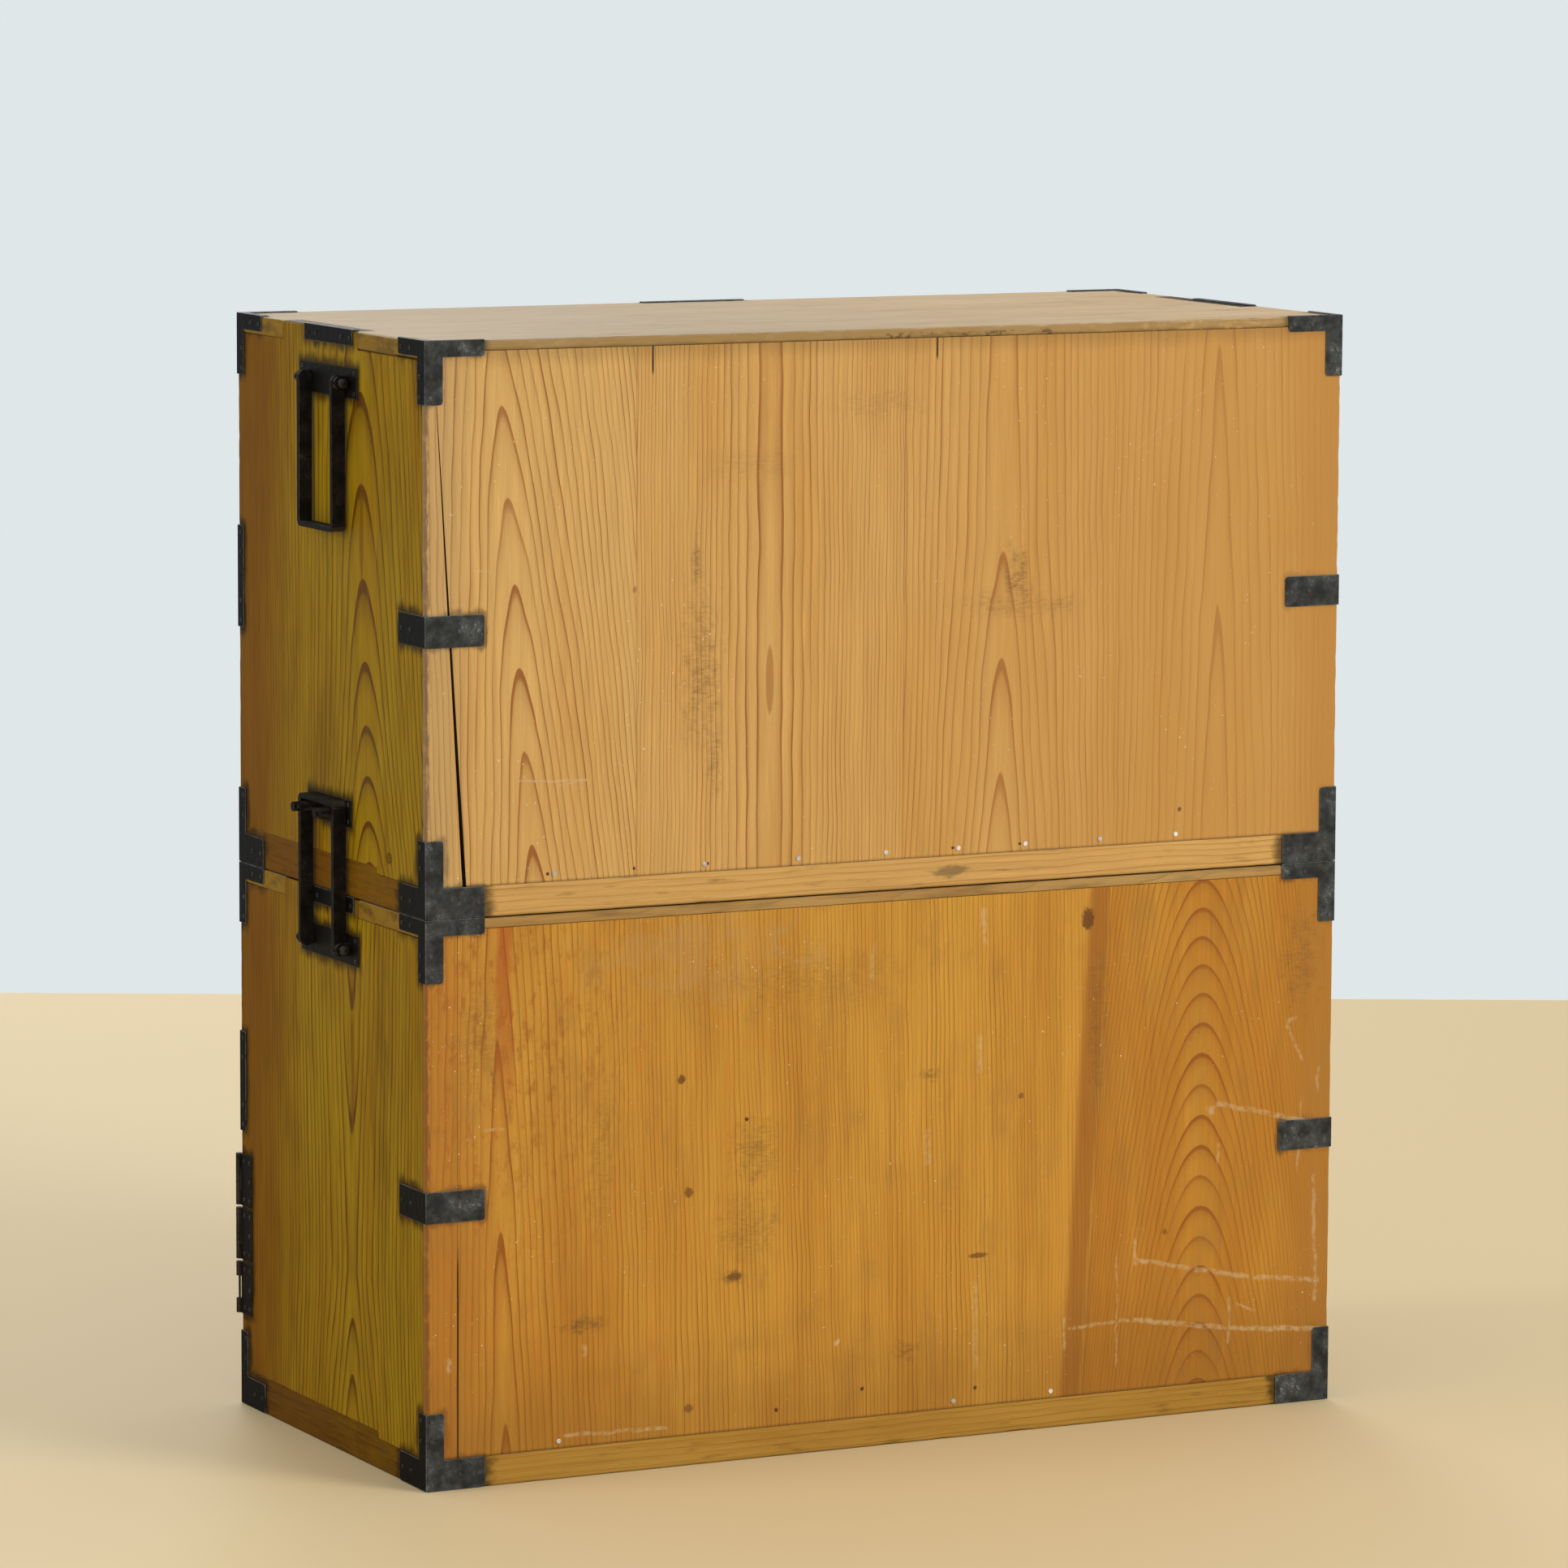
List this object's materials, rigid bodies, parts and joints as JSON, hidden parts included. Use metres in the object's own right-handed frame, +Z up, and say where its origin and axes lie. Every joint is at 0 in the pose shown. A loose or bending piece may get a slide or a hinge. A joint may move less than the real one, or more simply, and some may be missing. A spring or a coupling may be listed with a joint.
{
  "type": "stacking ship chest",
  "caption": "Stacking wooden chest with iron corners, side handles, drawers and a small hinged safe door; the back is plain planks.",
  "frame": {"origin": "on the floor under the middle of the wooden boxes, on the lower bearer's underside", "axes": "+Z up, drawers open towards -Y, +X towards the end with the door's hinges"},
  "size_m": [1.007, 0.4598, 1.05],
  "materials": {
    "side_wood": "aged oiled softwood, olive brown",
    "back_wood": "aged bare softwood, golden brown",
    "top_wood": "worn bare softwood, pinkish beige",
    "rail_wood": "aged bare softwood, stained",
    "inner_wood": "bare softwood",
    "front_wood": "wiped dark lacquer over wood",
    "drawer_wood": "bare softwood",
    "iron": "hand-forged, blackened, worn to a dull grey sheen"
  },
  "bodies": {
    "case": {"lower_side_right": "side_wood", "lower_side_left": "side_wood", "upper_side_right": "side_wood", "upper_side_left": "side_wood", "lower_back_boards": "back_wood", "upper_back_boards": "back_wood", "lower_top_board": "top_wood", "upper_top_board": "top_wood", "lower_base_rails": "rail_wood", "upper_base_rails": "rail_wood", "lower_bottom_board": "inner_wood", "upper_bottom_board": "inner_wood", "upper_shelf": "inner_wood", "lower_shelf": "inner_wood", "small_drawer_shelf": "inner_wood", "safe_shelf": "inner_wood", "safe_partition": "inner_wood", "lower_corner_irons": "iron", "upper_corner_irons": "iron", "corner_straps": "iron", "edge_straps": "iron", "back_nails": "iron", "iron_nails": "iron", "side_handle_plates": "iron", "side_handle_lugs": "iron", "side_handle_pins": "iron", "handle_catches": "iron", "hinge_case_leaves": "iron", "hinge_pins": "iron"},
    "top_drawer": {"top_drawer_front": "front_wood", "top_drawer_box": "drawer_wood", "top_drawer_fittings": "iron"},
    "second_drawer": {"second_drawer_front": "front_wood", "second_drawer_box": "drawer_wood", "second_drawer_fittings": "iron"},
    "long_drawer": {"long_drawer_front": "front_wood", "long_drawer_box": "drawer_wood", "long_drawer_fittings": "iron"},
    "small_drawer_high": {"small_drawer_high_front": "front_wood", "small_drawer_high_box": "drawer_wood", "small_drawer_high_fittings": "iron"},
    "small_drawer_low": {"small_drawer_low_front": "front_wood", "small_drawer_low_box": "drawer_wood", "small_drawer_low_fittings": "iron"},
    "top_drawer_left_pull": {"top_drawer_left_pull_bail": "iron"},
    "top_drawer_right_pull": {"top_drawer_right_pull_bail": "iron"},
    "second_drawer_left_pull": {"second_drawer_left_pull_bail": "iron"},
    "second_drawer_right_pull": {"second_drawer_right_pull_bail": "iron"},
    "long_drawer_left_pull": {"long_drawer_left_pull_bail": "iron"},
    "long_drawer_right_pull": {"long_drawer_right_pull_bail": "iron"},
    "small_drawer_high_pull": {"small_drawer_high_pull_bail": "iron"},
    "small_drawer_low_pull": {"small_drawer_low_pull_bail": "iron"},
    "safe_door": {"safe_door": "front_wood", "safe_door_leaves": "iron", "safe_door_fittings": "iron"},
    "safe_bolt": {"safe_door_bolt": "iron"},
    "lower_right_handle": {"lower_right_handle": "iron"},
    "lower_left_handle": {"lower_left_handle": "iron"},
    "upper_right_handle": {"upper_right_handle": "iron"},
    "upper_left_handle": {"upper_left_handle": "iron"}
  },
  "joints": [
    {"name": "top_drawer_slide", "type": "slide", "parent": "case", "child": "top_drawer", "axis": [0, -1, 0], "range_m": [0, 0.34]},
    {"name": "second_drawer_slide", "type": "slide", "parent": "case", "child": "second_drawer", "axis": [0, -1, 0], "range_m": [0, 0.34]},
    {"name": "long_drawer_slide", "type": "slide", "parent": "case", "child": "long_drawer", "axis": [0, -1, 0], "range_m": [0, 0.34]},
    {"name": "small_drawer_high_slide", "type": "slide", "parent": "case", "child": "small_drawer_high", "axis": [0, -1, 0], "range_m": [0, 0.34]},
    {"name": "small_drawer_low_slide", "type": "slide", "parent": "case", "child": "small_drawer_low", "axis": [0, -1, 0], "range_m": [0, 0.34]},
    {"name": "safe_door_hinge", "type": "hinge", "parent": "case", "child": "safe_door", "pos_m": [0.4772, -0.221, 0.176], "axis": [0, 0, 1], "range_deg": [0, 250]},
    {"name": "safe_bolt_slide", "type": "slide", "parent": "safe_door", "child": "safe_bolt", "axis": [-1, 0, 0], "range_m": [0, 0.011]},
    {"name": "upper_right_handle_swing", "type": "hinge", "parent": "case", "child": "upper_right_handle", "pos_m": [0.48455, 0, 1.0008], "axis": [0, -1, 0], "range_deg": [0, 180]},
    {"name": "upper_left_handle_swing", "type": "hinge", "parent": "case", "child": "upper_left_handle", "pos_m": [-0.48455, 0, 1.0008], "axis": [0, 1, 0], "range_deg": [0, 180]},
    {"name": "lower_right_handle_swing", "type": "hinge", "parent": "case", "child": "lower_right_handle", "pos_m": [0.48455, 0, 0.477], "axis": [0, 1, 0], "range_deg": [0, 180]},
    {"name": "lower_left_handle_swing", "type": "hinge", "parent": "case", "child": "lower_left_handle", "pos_m": [-0.48455, 0, 0.477], "axis": [0, -1, 0], "range_deg": [0, 180]},
    {"name": "top_drawer_left_pull_swing", "type": "hinge", "parent": "top_drawer", "child": "top_drawer_left_pull", "pos_m": [-0.23, -0.2257, 0.91843], "axis": [-1, 0, 0], "range_deg": [-7, 187]},
    {"name": "top_drawer_right_pull_swing", "type": "hinge", "parent": "top_drawer", "child": "top_drawer_right_pull", "pos_m": [0.23, -0.2257, 0.91843], "axis": [-1, 0, 0], "range_deg": [-7, 187]},
    {"name": "second_drawer_left_pull_swing", "type": "hinge", "parent": "second_drawer", "child": "second_drawer_left_pull", "pos_m": [-0.23, -0.2257, 0.68088], "axis": [-1, 0, 0], "range_deg": [-7, 187]},
    {"name": "second_drawer_right_pull_swing", "type": "hinge", "parent": "second_drawer", "child": "second_drawer_right_pull", "pos_m": [0.23, -0.2257, 0.68088], "axis": [-1, 0, 0], "range_deg": [-7, 187]},
    {"name": "long_drawer_left_pull_swing", "type": "hinge", "parent": "long_drawer", "child": "long_drawer_left_pull", "pos_m": [-0.23, -0.2257, 0.4139], "axis": [-1, 0, 0], "range_deg": [-7, 187]},
    {"name": "long_drawer_right_pull_swing", "type": "hinge", "parent": "long_drawer", "child": "long_drawer_right_pull", "pos_m": [0.23, -0.2257, 0.4139], "axis": [-1, 0, 0], "range_deg": [-7, 187]},
    {"name": "small_drawer_high_pull_swing", "type": "hinge", "parent": "small_drawer_high", "child": "small_drawer_high_pull", "pos_m": [-0.142, -0.2257, 0.24477], "axis": [-1, 0, 0], "range_deg": [-7, 187]},
    {"name": "small_drawer_low_pull_swing", "type": "hinge", "parent": "small_drawer_low", "child": "small_drawer_low_pull", "pos_m": [-0.142, -0.2257, 0.10552], "axis": [-1, 0, 0], "range_deg": [-7, 187]}
  ]
}
